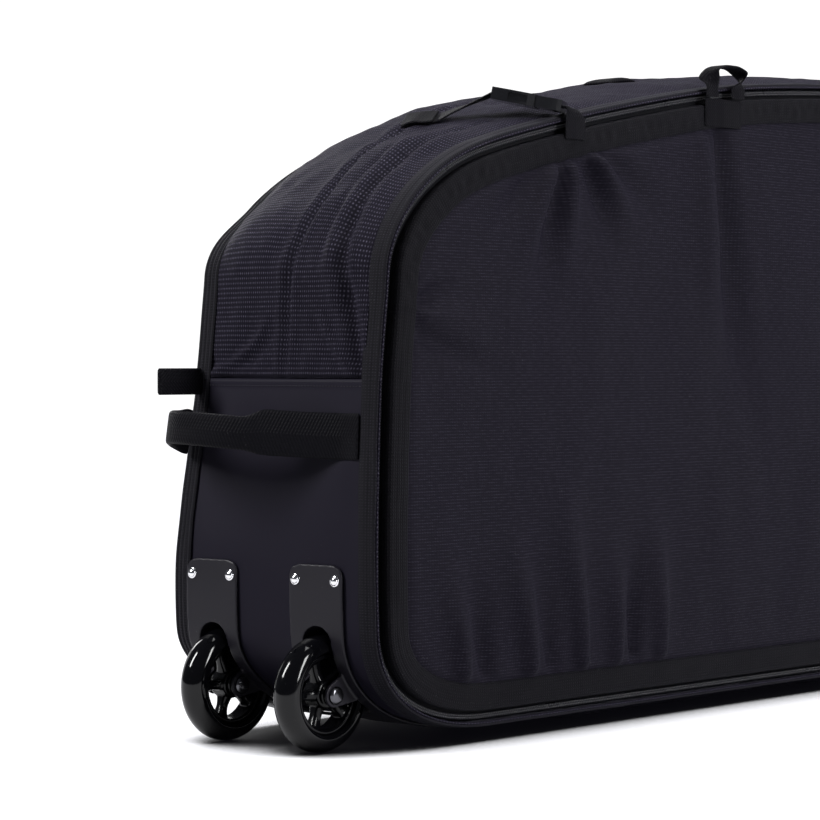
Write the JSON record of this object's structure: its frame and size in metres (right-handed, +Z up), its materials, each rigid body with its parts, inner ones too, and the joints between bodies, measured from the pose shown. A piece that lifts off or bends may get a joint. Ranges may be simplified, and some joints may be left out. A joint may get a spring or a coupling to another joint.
{
  "type": "wheeled surfboard bag",
  "caption": "Long padded board bag on its edge: zipped lid, curved side wall, coated tail panel with two wheels, end handle and top strap with a buckle.",
  "frame": {"origin": "on the floor, at the middle of the flat underside that the bag rests on, 0.7 m from the tail", "axes": "+X from the wheeled tail to the nose, +Y from the lid to the back panel, +Z up; the bag stands on its long lower edge"},
  "size_m": [2.0692, 0.2178, 0.5762],
  "materials": {
    "ripstop": "thin black ripstop with a faint rib grid and a soft sheen",
    "heavy_weave": "heavier black weave with a pale dotted relief",
    "coated_cloth": "smooth coated cloth, satin",
    "binding": "ribbed black binding tape",
    "webbing": "black polyester webbing",
    "zip_teeth": "black coil teeth with worn light crowns",
    "zip_metal": "dark plated metal",
    "buckle_plastic": "moulded black plastic, semi-gloss",
    "housing_plastic": "moulded dark grey plastic with a fine grain",
    "bright_steel": "bright polished rivet steel",
    "wheel_urethane": "glossy black urethane",
    "wheel_hub": "moulded black plastic, glossy"
  },
  "bodies": {
    "bag": {"upper_side_wall": "heavy_weave", "lower_side_wall": "heavy_weave", "tail_panel": "coated_cloth", "lid_panel": "ripstop", "back_panel": "heavy_weave", "lid_binding": "binding", "back_binding": "binding", "zip_tape": "binding", "zip_chain": "zip_teeth", "zip_flap": "binding", "zip_slider": "zip_metal", "zip_pull": "zip_metal", "end_handle": "webbing", "back_loop": "webbing", "top_strap": "webbing", "strap_patch": "webbing", "strap_tail": "webbing", "buckle_socket": "buckle_plastic", "buckle_tongue": "buckle_plastic", "carry_loop": "webbing", "loop_patch": "webbing", "top_tab": "webbing", "wheel_housing_lid_side": "housing_plastic", "wheel_housing_back_side": "housing_plastic", "rivet_lid_side_1": "bright_steel", "rivet_lid_side_2": "bright_steel", "rivet_back_side_1": "bright_steel", "rivet_back_side_2": "bright_steel", "axle_lid_side": "bright_steel", "axle_back_side": "bright_steel"},
    "wheel_lid_side": {"wheel_tyre_lid_side": "wheel_urethane", "wheel_hub_lid_side": "wheel_hub"},
    "wheel_back_side": {"wheel_tyre_back_side": "wheel_urethane", "wheel_hub_back_side": "wheel_hub"}
  },
  "joints": [
    {"name": "wheel_spin_lid_side", "type": "hinge", "parent": "bag", "child": "wheel_lid_side", "pos_m": [-0.703, -0.044, 0.045], "axis": [0, 1, 0], "continuous": true},
    {"name": "wheel_spin_back_side", "type": "hinge", "parent": "bag", "child": "wheel_back_side", "pos_m": [-0.703, 0.059, 0.045], "axis": [0, 1, 0], "continuous": true}
  ]
}
